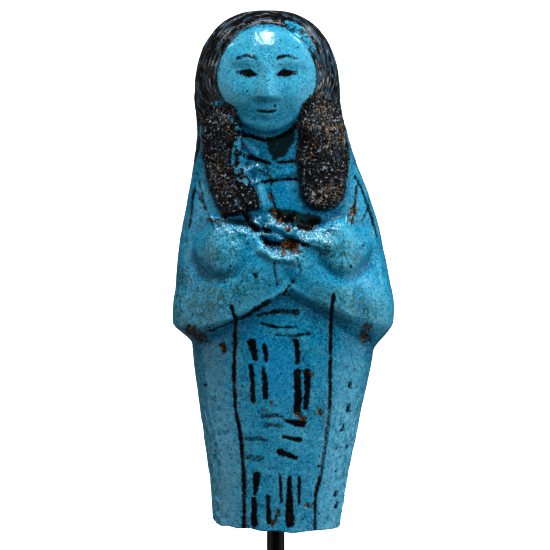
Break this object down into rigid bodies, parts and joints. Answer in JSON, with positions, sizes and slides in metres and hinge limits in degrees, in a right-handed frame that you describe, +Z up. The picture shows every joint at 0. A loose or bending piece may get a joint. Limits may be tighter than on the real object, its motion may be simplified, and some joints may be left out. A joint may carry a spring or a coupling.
{
  "type": "ushabti figurine fragment",
  "caption": "Glazed faience funerary figurine in a long wig with crossed arms, broken off across the shins and held up by a slim rod on a square foot.",
  "frame": {"origin": "centre of the foot's underside, on the rod's axis", "axes": "+Z up along the rod and the figure's height; the figure faces -Y; +X is to the viewer's right"},
  "size_m": [0.056, 0.056, 0.1132],
  "materials": {
    "faience": "turquoise blue glaze with brush painted black wig and lines, pitted, with sandy buff core in the break and the lost spots",
    "black_steel": "black satin paint on steel"
  },
  "bodies": {
    "root": {"figurine": "faience", "display_rod": "black_steel", "stand_foot": "black_steel"}
  },
  "joints": []
}
